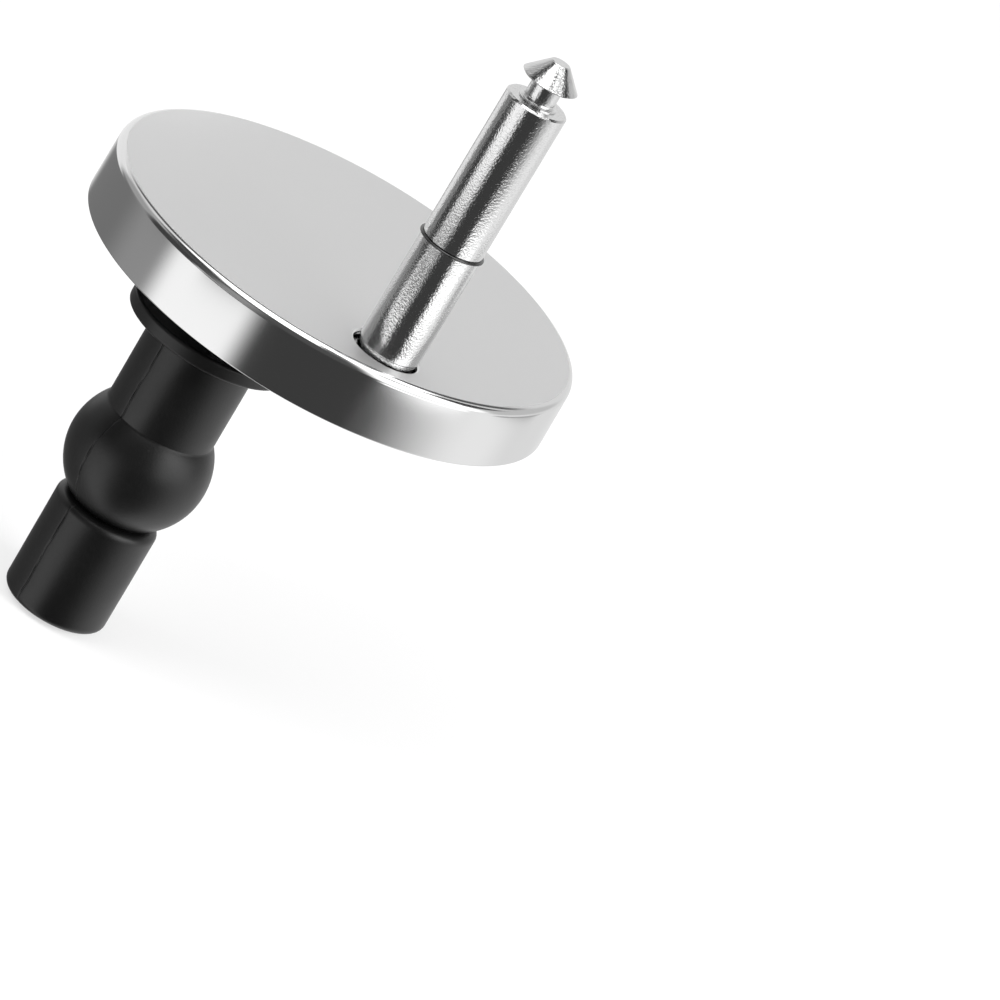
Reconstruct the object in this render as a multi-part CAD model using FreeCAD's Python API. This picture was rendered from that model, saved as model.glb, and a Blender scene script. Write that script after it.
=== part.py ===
import FreeCAD, Part
import math
import os

# Top fixing hinge post for a toilet seat, in millimetres.
# The origin lies on the axis of the clamp bolt, in the plane of the underside of the
# rubber anchor's flange, which rests on the ceramic. +Z runs up along the hinge pin and
# +Y runs from the bolt towards the centre of the round cover.

# Stainless cover, a drawn cup turned upside down
COVER_RADIUS = 27.5
COVER_HEIGHT = 7.2
COVER_WALL = 0.6
COVER_FLARE = 0.15
COVER_EDGE_ROUND = 0.9
COVER_RIM_ROUND = 0.2
COVER_PIN_HOLE_RADIUS = 3.72
COVER_PIN_HOLE_SHIFT = 0.22
COVER_PIN_HOLE_SIDE = 244.0
COVER_RIM_GAP = 0.3
COVER_ROOF_GAP = 0.3

# Where the bolt and the pin stand: how far in from the cover's side, and the angle between
BOLT_INSET = 11.2
PIN_INSET = 6.5
PIN_ANGLE = 54.0

# Hinge pin, turned from bar with an arrowhead tip for the seat's push button lock
PIN_RADIUS = 3.45
PIN_HEIGHT = 31.08
PIN_LIFT = 0.35
PIN_EDGE = 0.2
PIN_FOOT_RADIUS = 2.75
PIN_FLANGE_RADIUS = 5.0
PIN_FLANGE_THICKNESS = 1.4
PIN_SPIGOT_LENGTH = 1.7
PIN_SPIGOT_GAP = 0.3
TIP_NECK_RADIUS = 1.7
TIP_NECK_HEIGHT = 2.5
TIP_NECK_FILLET = 0.4
TIP_COLLAR_RADIUS = 2.15
TIP_COLLAR_HEIGHT = 0.12
TIP_BASE_RADIUS = 3.14
TIP_LAND = 0.15
TIP_TOP_RADIUS = 1.05
TIP_HEIGHT = 2.37
TIP_TOP_ROUND = 0.25

# Rubber ring in a shallow groove round the pin
RING_HEIGHT = 13.65
RING_SECTION = 0.5
RING_PROUD = 0.3
RING_GROOVE_PLAY = 0.02

# Screw that holds the pin from below
PIN_SCREW_RADIUS = 2.0
PIN_SCREW_LENGTH = 10.0
PIN_SCREW_TIP = 0.5
PIN_SCREW_HEAD_RADIUS = 3.8
PIN_SCREW_HEAD_HEIGHT = 2.0
PIN_SCREW_HEAD_ROUND = 0.8
PIN_SCREW_CROSS_WIDTH = 0.9
PIN_SCREW_CROSS_LENGTH = 4.0
PIN_SCREW_CROSS_DEPTH = 1.1
PIN_WASHER_RADIUS = 4.1
PIN_WASHER_THICKNESS = 0.5
THREAD_PLAY = 0.05
PIN_SCREW_ROOM = 0.3

# Base under the cover, a ribbed moulding open from below
BASE_SIDE_GAP = 0.3
BASE_DECK = 1.4
BASE_WALL = 2.2
BASE_CHAMFER = 0.3
BASE_RIBS = 8
BASE_RIB_THICKNESS = 1.2
BASE_RIB_RECESS = 0.9
BASE_BOSS_WALL = 1.2
PIN_BOSS_WALL = 1.8
GRIP_RIBS = 8
GRIP_RIB_RADIUS = 0.45
GRIP_PLAY = 0.05
LOCATING_PLAY = 0.05

# Clamp bolt with a button head and a hexagon socket, and its washer
BOLT_RADIUS = 3.0
BOLT_LENGTH = 40.0
BOLT_TIP = 0.7
BOLT_HEAD_RADIUS = 5.25
BOLT_HEAD_HEIGHT = 3.3
BOLT_HEAD_TOP_RADIUS = 2.9
BOLT_SOCKET_ACROSS_FLATS = 4.0
BOLT_SOCKET_DEPTH = 2.1
BOLT_RUNNING_PLAY = 0.08
BOLT_WASHER_RADIUS = 6.0
BOLT_WASHER_THICKNESS = 0.6
BOLT_WASHER_PLAY = 0.2
BOLT_POCKET_RADIUS = 7.2
BOLT_FLOOR = 1.0

# Soft pad between the base and the ceramic
GASKET_THICKNESS = 0.8
GASKET_OUTER_INSET = 0.3
GASKET_WIDTH = 4.8
GASKET_PLAY = 0.3

# Rubber anchor: flange, neck, ball and tail in one moulding
FLANGE_RADIUS = 9.5
FLANGE_THICKNESS = 1.7
FLANGE_ROUND = 0.35
FLANGE_DROP = 3.3
FLANGE_PLAY = 0.25
FLANGE_ROOF_GAP = 0.1
NECK_RADIUS = 6.25
BALL_RADIUS = 8.0
BALL_DEPTH = 15.7
BALL_FOOT_RADIUS = 4.66
TAIL_RADIUS = 5.95
TAIL_LENGTH = 13.0
TAIL_ROUND = 0.9
ANCHOR_BORE_PLAY = 0.3

# Brass nut moulded into the tail
NUT_ACROSS_FLATS = 8.0
NUT_LENGTH = 8.0
NUT_EDGE = 0.4
NUT_WAIST_RADIUS = 3.85
NUT_WAIST_WIDTH = 1.6
NUT_DEPTH_IN_TAIL = 3.2

# Levels, from the underside of the anchor's flange upwards
SEAT_Z = FLANGE_DROP
RIM_Z = SEAT_Z + COVER_RIM_GAP
COVER_TOP_Z = RIM_Z + COVER_HEIGHT
COVER_ROOF_Z = COVER_TOP_Z - COVER_WALL
BASE_BOTTOM_Z = SEAT_Z + GASKET_THICKNESS
BASE_TOP_Z = COVER_ROOF_Z - COVER_ROOF_GAP
DECK_Z = BASE_TOP_Z - BASE_DECK
RECESS_ROOF_Z = SEAT_Z + FLANGE_THICKNESS + FLANGE_ROOF_GAP
POCKET_FLOOR_Z = RECESS_ROOF_Z + BOLT_FLOOR
BOLT_SEAT_Z = POCKET_FLOOR_Z + BOLT_WASHER_THICKNESS
PIN_FLANGE_Z = BASE_TOP_Z - PIN_FLANGE_THICKNESS
PIN_BODY_Z = COVER_TOP_Z + PIN_LIFT
PIN_SHOULDER_Z = PIN_BODY_Z + PIN_HEIGHT
RING_Z = COVER_TOP_Z + RING_HEIGHT
PIN_SPIGOT_Z = PIN_FLANGE_Z - PIN_SPIGOT_LENGTH
PIN_BOSS_Z = PIN_SPIGOT_Z - PIN_SPIGOT_GAP
PIN_SCREW_SEAT_Z = PIN_BOSS_Z - PIN_WASHER_THICKNESS
TAIL_TOP_Z = -BALL_DEPTH - math.sqrt(BALL_RADIUS**2 - BALL_FOOT_RADIUS**2)
TAIL_BOTTOM_Z = TAIL_TOP_Z - TAIL_LENGTH
NUT_TOP_Z = TAIL_TOP_Z - NUT_DEPTH_IN_TAIL

# Radii and distances from the cover's centre that follow from the sizes above
BOLT_OFFSET = COVER_RADIUS - BOLT_INSET
PIN_OFFSET = COVER_RADIUS - PIN_INSET
COVER_INNER_RADIUS = COVER_RADIUS - COVER_WALL
BASE_RADIUS = COVER_INNER_RADIUS - BASE_SIDE_GAP
RECESS_RADIUS = FLANGE_RADIUS + FLANGE_PLAY
PIN_BOSS_RADIUS = PIN_FLANGE_RADIUS + PIN_BOSS_WALL
BOLT_TUBE_RADIUS = BOLT_POCKET_RADIUS + BASE_BOSS_WALL
RECESS_WALL_RADIUS = RECESS_RADIUS + BASE_BOSS_WALL

UP = FreeCAD.Vector(0, 0, 1)
CENTRE = FreeCAD.Vector(0, BOLT_OFFSET, 0)
PIN_AXIS = CENTRE + FreeCAD.Vector(
    PIN_OFFSET * math.sin(math.radians(PIN_ANGLE)),
    -PIN_OFFSET * math.cos(math.radians(PIN_ANGLE)),
    0,
)
# The cover's hole stands a little to one side, so its gap round the pin is uneven
PIN_HOLE_AXIS = PIN_AXIS + FreeCAD.Vector(
    COVER_PIN_HOLE_SHIFT * math.cos(math.radians(COVER_PIN_HOLE_SIDE)),
    COVER_PIN_HOLE_SHIFT * math.sin(math.radians(COVER_PIN_HOLE_SIDE)),
    0,
)


def outline_wire(corners):
    """Closed wire in the XZ plane from (radius, height) or (radius, height, rounding)."""
    count = len(corners)
    edges = []
    ends = []
    for index, corner in enumerate(corners):
        here = FreeCAD.Vector(corner[0], 0, corner[1])
        rounding = corner[2] if len(corner) > 2 else 0.0
        if rounding == 0.0:
            ends.append((here, here, None))
            continue
        before = corners[index - 1]
        after = corners[(index + 1) % count]
        back = (FreeCAD.Vector(before[0], 0, before[1]) - here).normalize()
        ahead = (FreeCAD.Vector(after[0], 0, after[1]) - here).normalize()
        half = back.getAngle(ahead) / 2
        reach = rounding / math.tan(half)
        start = here + back * reach
        end = here + ahead * reach
        middle = here + (back + ahead).normalize() * (rounding / math.sin(half) - rounding)
        ends.append((start, end, middle))
    for index in range(count):
        start, end, middle = ends[index]
        if middle is not None:
            edges.append(Part.Arc(start, middle, end).toShape())
        following = ends[(index + 1) % count][0]
        if (following - end).Length > 1e-6:
            edges.append(Part.makeLine(end, following))
    return Part.Wire(edges)


def revolved(corners, centre=None):
    """Solid turned round a vertical axis from a closed outline of corners."""
    face = Part.Face(outline_wire(corners))
    solid = face.revolve(FreeCAD.Vector(0, 0, 0), UP, 360)
    if centre is not None:
        solid.translate(centre)
    return solid


def cylinder(radius, low, high, centre=None):
    """Upright cylinder between two heights."""
    place = FreeCAD.Vector(0, 0, low)
    if centre is not None:
        place = place + centre
    return Part.makeCylinder(radius, high - low, place, UP)


def hexagon_prism(across_flats, low, high, centre=None):
    """Upright hexagonal prism between two heights."""
    radius = across_flats / math.sqrt(3)
    middle = centre if centre is not None else FreeCAD.Vector(0, 0, 0)
    corners = []
    for step in range(7):
        angle = math.radians(60 * step)
        offset = FreeCAD.Vector(radius * math.cos(angle), radius * math.sin(angle), low)
        corners.append(middle + offset)
    return Part.Face(Part.makePolygon(corners)).extrude(UP * (high - low))


def upright_rib(length, thickness, low, high, centre, degrees):
    """Thin upright wall that runs out from a centre in one direction."""
    rib = Part.makeBox(length, thickness, high - low, FreeCAD.Vector(0, -thickness / 2, low))
    rib.rotate(FreeCAD.Vector(0, 0, 0), UP, degrees)
    rib.translate(centre)
    return rib


def make_cover_cap():
    """Drawn cup with a flat top, a rounded edge and a hole that the pin passes through."""
    outer_rim = COVER_RADIUS + COVER_FLARE
    inner_rim = outer_rim - COVER_WALL
    inner_round = COVER_EDGE_ROUND - COVER_WALL
    cup = revolved(
        [
            (0, COVER_ROOF_Z),
            (COVER_INNER_RADIUS, COVER_ROOF_Z, inner_round),
            (inner_rim, RIM_Z),
            (outer_rim, RIM_Z, COVER_RIM_ROUND),
            (COVER_RADIUS, COVER_TOP_Z, COVER_EDGE_ROUND),
            (0, COVER_TOP_Z),
        ],
        CENTRE,
    )
    hole = cylinder(COVER_PIN_HOLE_RADIUS, RIM_Z, COVER_TOP_Z + 1, PIN_HOLE_AXIS)
    return cup.cut(hole)


def make_base():
    """Ribbed moulding that carries the pin, the bolt and the pad."""
    body = revolved(
        [
            (0, DECK_Z),
            (BASE_RADIUS - BASE_WALL, DECK_Z),
            (BASE_RADIUS - BASE_WALL, BASE_BOTTOM_Z),
            (BASE_RADIUS, BASE_BOTTOM_Z),
            (BASE_RADIUS, BASE_TOP_Z - BASE_CHAMFER),
            (BASE_RADIUS - BASE_CHAMFER, BASE_TOP_Z),
            (0, BASE_TOP_Z),
        ],
        CENTRE,
    )
    rib_low = BASE_BOTTOM_Z + BASE_RIB_RECESS
    added = []
    for step in range(BASE_RIBS):
        degrees = 360 / BASE_RIBS * step
        reach = BASE_RADIUS - BASE_WALL / 2
        added.append(upright_rib(reach, BASE_RIB_THICKNESS, rib_low, BASE_TOP_Z - BASE_DECK / 2, CENTRE, degrees))
    added.append(cylinder(RECESS_WALL_RADIUS, BASE_BOTTOM_Z, POCKET_FLOOR_Z))
    added.append(cylinder(BOLT_TUBE_RADIUS, POCKET_FLOOR_Z, BASE_TOP_Z))
    added.append(cylinder(PIN_BOSS_RADIUS, PIN_BOSS_Z, BASE_TOP_Z, PIN_AXIS))
    limit = cylinder(BASE_RADIUS, BASE_BOTTOM_Z, BASE_TOP_Z - BASE_CHAMFER, CENTRE)
    body = body.fuse(added[0].fuse(added[1:]).common(limit))

    pockets = [
        cylinder(RECESS_RADIUS, BASE_BOTTOM_Z - 1, RECESS_ROOF_Z),
        cylinder(BOLT_POCKET_RADIUS, POCKET_FLOOR_Z, BASE_TOP_Z + 1),
        cylinder(BOLT_RADIUS + BOLT_RUNNING_PLAY, BASE_BOTTOM_Z, BASE_TOP_Z),
        cylinder(PIN_FLANGE_RADIUS + LOCATING_PLAY, PIN_FLANGE_Z, BASE_TOP_Z + 1, PIN_AXIS),
        cylinder(PIN_FOOT_RADIUS + LOCATING_PLAY, PIN_BOSS_Z - 1, BASE_TOP_Z, PIN_AXIS),
        cylinder(PIN_WASHER_RADIUS + PIN_SCREW_ROOM, BASE_BOTTOM_Z - 1, PIN_BOSS_Z, PIN_AXIS),
    ]
    body = body.cut(pockets)

    grips = []
    grip_centre = COVER_INNER_RADIUS - GRIP_PLAY - GRIP_RIB_RADIUS
    for step in range(GRIP_RIBS):
        angle = 2 * math.pi * (step + 0.5) / GRIP_RIBS
        place = CENTRE + FreeCAD.Vector(grip_centre * math.cos(angle), grip_centre * math.sin(angle), 0)
        grips.append(cylinder(GRIP_RIB_RADIUS, BASE_BOTTOM_Z + 0.4, BASE_TOP_Z - BASE_CHAMFER - 0.2, place))
    body = body.fuse(grips)
    return body.removeSplitter()


def make_base_gasket():
    """Flat soft ring under the base, cut away round the anchor's flange and the pin screw."""
    outer = BASE_RADIUS - GASKET_OUTER_INSET
    ring = cylinder(outer, SEAT_Z, BASE_BOTTOM_Z, CENTRE)
    ring = ring.cut(cylinder(outer - GASKET_WIDTH, SEAT_Z - 1, BASE_BOTTOM_Z + 1, CENTRE))
    ring = ring.cut(cylinder(RECESS_RADIUS + GASKET_PLAY, SEAT_Z - 1, BASE_BOTTOM_Z + 1))
    screw_room = PIN_WASHER_RADIUS + PIN_SCREW_ROOM
    return ring.cut(cylinder(screw_room, SEAT_Z - 1, BASE_BOTTOM_Z + 1, PIN_AXIS))


def make_hinge_pin():
    """Turned pin: foot flange, plain shank with a ring groove, necked arrowhead tip."""
    groove_radius = PIN_RADIUS + RING_PROUD - RING_SECTION
    groove_half = RING_SECTION / 2 + RING_GROOVE_PLAY
    neck_top_z = PIN_SHOULDER_Z + TIP_NECK_HEIGHT
    collar_z = PIN_SHOULDER_Z + TIP_COLLAR_HEIGHT
    tip_z = neck_top_z + TIP_HEIGHT
    pin = revolved(
        [
            (0, PIN_SPIGOT_Z),
            (PIN_FOOT_RADIUS, PIN_SPIGOT_Z),
            (PIN_FOOT_RADIUS, PIN_FLANGE_Z),
            (PIN_FLANGE_RADIUS, PIN_FLANGE_Z),
            (PIN_FLANGE_RADIUS, BASE_TOP_Z, PIN_EDGE),
            (PIN_FOOT_RADIUS, BASE_TOP_Z),
            (PIN_FOOT_RADIUS, PIN_BODY_Z),
            (PIN_RADIUS, PIN_BODY_Z, PIN_EDGE),
            (PIN_RADIUS, RING_Z - groove_half),
            (groove_radius, RING_Z - groove_half),
            (groove_radius, RING_Z + groove_half),
            (PIN_RADIUS, RING_Z + groove_half, PIN_EDGE / 2),
            (PIN_RADIUS, PIN_SHOULDER_Z - PIN_EDGE),
            (PIN_RADIUS - PIN_EDGE, PIN_SHOULDER_Z),
            (TIP_COLLAR_RADIUS, PIN_SHOULDER_Z),
            (TIP_COLLAR_RADIUS, collar_z),
            (TIP_NECK_RADIUS, collar_z, TIP_NECK_FILLET),
            (TIP_NECK_RADIUS, neck_top_z),
            (TIP_BASE_RADIUS - TIP_LAND, neck_top_z),
            (TIP_BASE_RADIUS, neck_top_z + TIP_LAND),
            (TIP_TOP_RADIUS, tip_z, TIP_TOP_ROUND),
            (0, tip_z),
        ],
        PIN_AXIS,
    )
    tapped = cylinder(
        PIN_SCREW_RADIUS + THREAD_PLAY,
        PIN_SPIGOT_Z - 1,
        PIN_SCREW_SEAT_Z + PIN_SCREW_LENGTH + PIN_SCREW_RADIUS,
        PIN_AXIS,
    )
    return pin.cut(tapped)


def make_pin_ring():
    """Thin round rubber ring that stands a little proud of the pin."""
    section = RING_SECTION / 2
    ring = Part.makeTorus(PIN_RADIUS + RING_PROUD - section, section)
    ring.translate(PIN_AXIS + UP * RING_Z)
    return ring


def make_pin_screw():
    """Pan head screw with a cross recess, head down."""
    low = PIN_SCREW_SEAT_Z - PIN_SCREW_HEAD_HEIGHT
    high = PIN_SCREW_SEAT_Z + PIN_SCREW_LENGTH
    screw = revolved(
        [
            (0, low),
            (PIN_SCREW_HEAD_RADIUS, low, PIN_SCREW_HEAD_ROUND),
            (PIN_SCREW_HEAD_RADIUS, PIN_SCREW_SEAT_Z),
            (PIN_SCREW_RADIUS, PIN_SCREW_SEAT_Z),
            (PIN_SCREW_RADIUS, high - PIN_SCREW_TIP),
            (PIN_SCREW_RADIUS - PIN_SCREW_TIP, high),
            (0, high),
        ],
        PIN_AXIS,
    )
    for degrees in (0, 90, 180, 270):
        arm = upright_rib(
            PIN_SCREW_CROSS_LENGTH / 2,
            PIN_SCREW_CROSS_WIDTH,
            low - 1,
            low + PIN_SCREW_CROSS_DEPTH,
            PIN_AXIS,
            degrees,
        )
        screw = screw.cut(arm)
    return screw


def make_pin_washer():
    """Plain washer between the pin's screw and the base."""
    washer = cylinder(PIN_WASHER_RADIUS, PIN_SCREW_SEAT_Z, PIN_BOSS_Z, PIN_AXIS)
    bore = cylinder(PIN_SCREW_RADIUS + BOLT_WASHER_PLAY, PIN_SCREW_SEAT_Z - 1, PIN_BOSS_Z + 1, PIN_AXIS)
    return washer.cut(bore)


def make_clamp_bolt():
    """Button head bolt with a hexagon socket, driven from above."""
    top_z = BOLT_SEAT_Z + BOLT_HEAD_HEIGHT
    end_z = BOLT_SEAT_Z - BOLT_LENGTH
    rim_z = BOLT_SEAT_Z + BOLT_HEAD_HEIGHT * 0.25
    dome_start = FreeCAD.Vector(BOLT_HEAD_RADIUS, 0, rim_z)
    dome_end = FreeCAD.Vector(BOLT_HEAD_TOP_RADIUS, 0, top_z)
    chord = dome_end - dome_start
    bulge = FreeCAD.Vector(-chord.z, 0, chord.x).normalize() * (-0.16 * chord.Length)
    dome = Part.Arc(dome_start, dome_start + chord * 0.5 + bulge, dome_end).toShape()
    path = [
        dome_end,
        FreeCAD.Vector(0, 0, top_z),
        FreeCAD.Vector(0, 0, end_z),
        FreeCAD.Vector(BOLT_RADIUS - BOLT_TIP, 0, end_z),
        FreeCAD.Vector(BOLT_RADIUS, 0, end_z + BOLT_TIP),
        FreeCAD.Vector(BOLT_RADIUS, 0, BOLT_SEAT_Z),
        FreeCAD.Vector(BOLT_HEAD_RADIUS, 0, BOLT_SEAT_Z),
        dome_start,
    ]
    sides = [Part.makeLine(path[index], path[index + 1]) for index in range(len(path) - 1)]
    face = Part.Face(Part.Wire([dome] + sides))
    bolt = face.revolve(FreeCAD.Vector(0, 0, 0), UP, 360)
    socket = hexagon_prism(BOLT_SOCKET_ACROSS_FLATS, top_z - BOLT_SOCKET_DEPTH, top_z + 1)
    return bolt.cut(socket)


def make_bolt_washer():
    """Plain washer under the bolt head."""
    washer = cylinder(BOLT_WASHER_RADIUS, POCKET_FLOOR_Z, BOLT_SEAT_Z)
    return washer.cut(cylinder(BOLT_RADIUS + BOLT_WASHER_PLAY, POCKET_FLOOR_Z - 1, BOLT_SEAT_Z + 1))


def make_nut_blank():
    """Outside form of the moulded-in nut: a hexagon with turned ends and a waist."""
    low = NUT_TOP_Z - NUT_LENGTH
    corner = NUT_ACROSS_FLATS / math.sqrt(3)
    middle = NUT_TOP_Z - NUT_LENGTH / 2
    half = NUT_WAIST_WIDTH / 2
    turned = revolved(
        [
            (0, low),
            (corner - NUT_EDGE, low),
            (corner, low + NUT_EDGE),
            (corner, middle - half),
            (NUT_WAIST_RADIUS, middle - half),
            (NUT_WAIST_RADIUS, middle + half),
            (corner, middle + half),
            (corner, NUT_TOP_Z - NUT_EDGE),
            (corner - NUT_EDGE, NUT_TOP_Z),
            (0, NUT_TOP_Z),
        ]
    )
    return turned.common(hexagon_prism(NUT_ACROSS_FLATS, low, NUT_TOP_Z))


def make_anchor_nut():
    """Brass nut that the bolt draws upwards."""
    bore = cylinder(BOLT_RADIUS + THREAD_PLAY, NUT_TOP_Z - NUT_LENGTH - 1, NUT_TOP_Z + 1)
    return make_nut_blank().cut(bore)


def make_rubber_anchor():
    """Expanding rubber plug: flange, neck, ball and tail, bored for the bolt."""
    neck_meets_ball_z = -BALL_DEPTH + math.sqrt(BALL_RADIUS**2 - NECK_RADIUS**2)
    neck = revolved(
        [
            (0, neck_meets_ball_z - 1),
            (NECK_RADIUS, neck_meets_ball_z - 1),
            (NECK_RADIUS, 0),
            (FLANGE_RADIUS, 0, FLANGE_ROUND),
            (FLANGE_RADIUS, FLANGE_THICKNESS, FLANGE_ROUND),
            (0, FLANGE_THICKNESS),
        ]
    )
    ball = Part.makeSphere(BALL_RADIUS, FreeCAD.Vector(0, 0, -BALL_DEPTH))
    below = cylinder(BALL_RADIUS + 1, -BALL_DEPTH - BALL_RADIUS - 1, TAIL_TOP_Z)
    ball = ball.cut(below)
    tail = revolved(
        [
            (0, TAIL_BOTTOM_Z),
            (TAIL_RADIUS, TAIL_BOTTOM_Z, TAIL_ROUND),
            (TAIL_RADIUS, TAIL_TOP_Z, TAIL_ROUND),
            (0, TAIL_TOP_Z),
        ]
    )
    plug = neck.fuse([ball, tail])
    bore = cylinder(BOLT_RADIUS + ANCHOR_BORE_PLAY, TAIL_BOTTOM_Z - 1, FLANGE_THICKNESS + 1)
    return plug.cut([bore, make_nut_blank()])


PARTS = {
    "cover_cap": make_cover_cap,
    "base": make_base,
    "base_gasket": make_base_gasket,
    "hinge_pin": make_hinge_pin,
    "pin_ring": make_pin_ring,
    "pin_screw": make_pin_screw,
    "pin_washer": make_pin_washer,
    "clamp_bolt": make_clamp_bolt,
    "bolt_washer": make_bolt_washer,
    "rubber_anchor": make_rubber_anchor,
    "anchor_nut": make_anchor_nut,
}

os.makedirs("parts", exist_ok=True)
for node, make in PARTS.items():
    make().exportStep(f"parts/{node}.step")
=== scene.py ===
import logging
import math
from collections.abc import Callable, Iterable, Sequence
from dataclasses import dataclass, field, replace
from enum import Enum

import bmesh
import bpy
from mathutils import Matrix, Vector, noise


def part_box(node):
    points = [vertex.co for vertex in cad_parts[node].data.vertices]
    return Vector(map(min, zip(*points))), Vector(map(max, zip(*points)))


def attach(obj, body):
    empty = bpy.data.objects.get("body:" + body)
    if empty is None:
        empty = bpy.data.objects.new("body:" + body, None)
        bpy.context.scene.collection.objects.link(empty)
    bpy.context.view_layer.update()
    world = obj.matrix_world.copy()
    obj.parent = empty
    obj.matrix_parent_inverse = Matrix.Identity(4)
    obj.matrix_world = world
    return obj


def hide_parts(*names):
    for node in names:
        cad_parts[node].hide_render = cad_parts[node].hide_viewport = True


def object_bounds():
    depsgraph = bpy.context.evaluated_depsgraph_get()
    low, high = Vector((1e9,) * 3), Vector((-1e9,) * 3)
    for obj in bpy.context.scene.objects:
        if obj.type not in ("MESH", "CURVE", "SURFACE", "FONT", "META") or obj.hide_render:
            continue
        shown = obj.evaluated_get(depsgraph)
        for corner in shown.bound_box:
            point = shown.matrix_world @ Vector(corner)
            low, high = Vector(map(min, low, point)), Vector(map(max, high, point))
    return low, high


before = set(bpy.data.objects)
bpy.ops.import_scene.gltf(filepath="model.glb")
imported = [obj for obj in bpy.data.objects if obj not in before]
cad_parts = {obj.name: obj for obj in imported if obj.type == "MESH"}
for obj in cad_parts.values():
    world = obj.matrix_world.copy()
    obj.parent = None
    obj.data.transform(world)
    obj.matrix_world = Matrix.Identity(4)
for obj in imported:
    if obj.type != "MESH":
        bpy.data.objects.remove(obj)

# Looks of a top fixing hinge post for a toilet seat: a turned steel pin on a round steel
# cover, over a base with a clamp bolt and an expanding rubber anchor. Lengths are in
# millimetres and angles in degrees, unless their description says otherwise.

CAD_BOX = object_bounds()
MM = 0.001
TOUCH = 1e-6
TURN = 2 * math.pi
LOG = logging.getLogger("hinge_post")

Colour = tuple[float, float, float]
Material = bpy.types.Material
Node = bpy.types.Node
Object = bpy.types.Object
Outputs = bpy.types.bpy_prop_collection
Socket = bpy.types.NodeSocket
Vert = bmesh.types.BMVert
Feed = float | int | tuple | Socket
Ring = tuple[float, float]
Row = list[Vert]
Swell = Callable[[float, float, float], float]


class Body(str, Enum):
    """The rigid bodies that the redrawn pieces ride on."""

    ANCHOR = "anchor"
    BOLT = "bolt"
    BASE = "base"
    COVER = "cover"


class Slot(str, Enum):
    """The record's material slots of the redrawn pieces."""

    COVER_STEEL = "cover_steel"
    PIN_STEEL = "pin_steel"
    BOLT_STEEL = "bolt_steel"
    RING_RUBBER = "ring_rubber"
    ANCHOR_RUBBER = "anchor_rubber"


class Edge(Enum):
    """The angle from which an edge shows sharp."""

    MACHINED = 30.0
    MOULDED = 40.0


# ---- scene objects


def polar(angle: float, radius: float = 1.0) -> tuple[float, float]:
    """Finds a point round an axis.

    Args:
        angle: its angle, in radians.
        radius: its distance from the axis.

    Returns: its x and y.
    """
    return radius * math.cos(angle), radius * math.sin(angle)


def add_object(name: str, data: bpy.types.ID) -> Object:
    """Adds an object to the scene.

    Args:
        name: the object's name.
        data: its mesh, camera or light.

    Returns: the object.
    """
    item = bpy.data.objects.new(name, data)
    bpy.context.scene.collection.objects.link(item)
    return item


def write_mesh(name: str, mesh: bmesh.types.BMesh) -> bpy.types.Mesh:
    """Ends the editing of a mesh.

    Args:
        name: the mesh's name.
        mesh: the mesh as edited, which is freed.

    Returns: the mesh as data.
    """
    data = bpy.data.meshes.new(name)
    mesh.to_mesh(data)
    mesh.free()
    return data


def settle(
    piece: Object, body: Body, material: Material, nodes: Sequence[str]
) -> None:
    """Gives a new piece its finish and its body.

    Args:
        piece: the object.
        body: the body that it rides on.
        material: its finish.
        nodes: the CAD nodes that it stands for.
    """
    piece.data.materials.append(material)
    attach(piece, body.value)
    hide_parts(*nodes)
    LOG.info("%s: %d faces on %s", piece.name, len(piece.data.polygons), body.value)


def dress_node(node: str, material: Material) -> None:
    """Gives a CAD node that stays visible its finish.

    Args:
        node: the node's name.
        material: its finish.
    """
    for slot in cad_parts[node].material_slots:
        slot.material = material
    LOG.info("%s: keeps its CAD shape, finish %s", node, material.name)


# ---- outlines and turned meshes


@dataclass(frozen=True)
class Corner:
    """One corner of a turned outline, rounded where rounding isn't 0."""

    radius: float
    height: float
    rounding: float = 0.0


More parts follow.
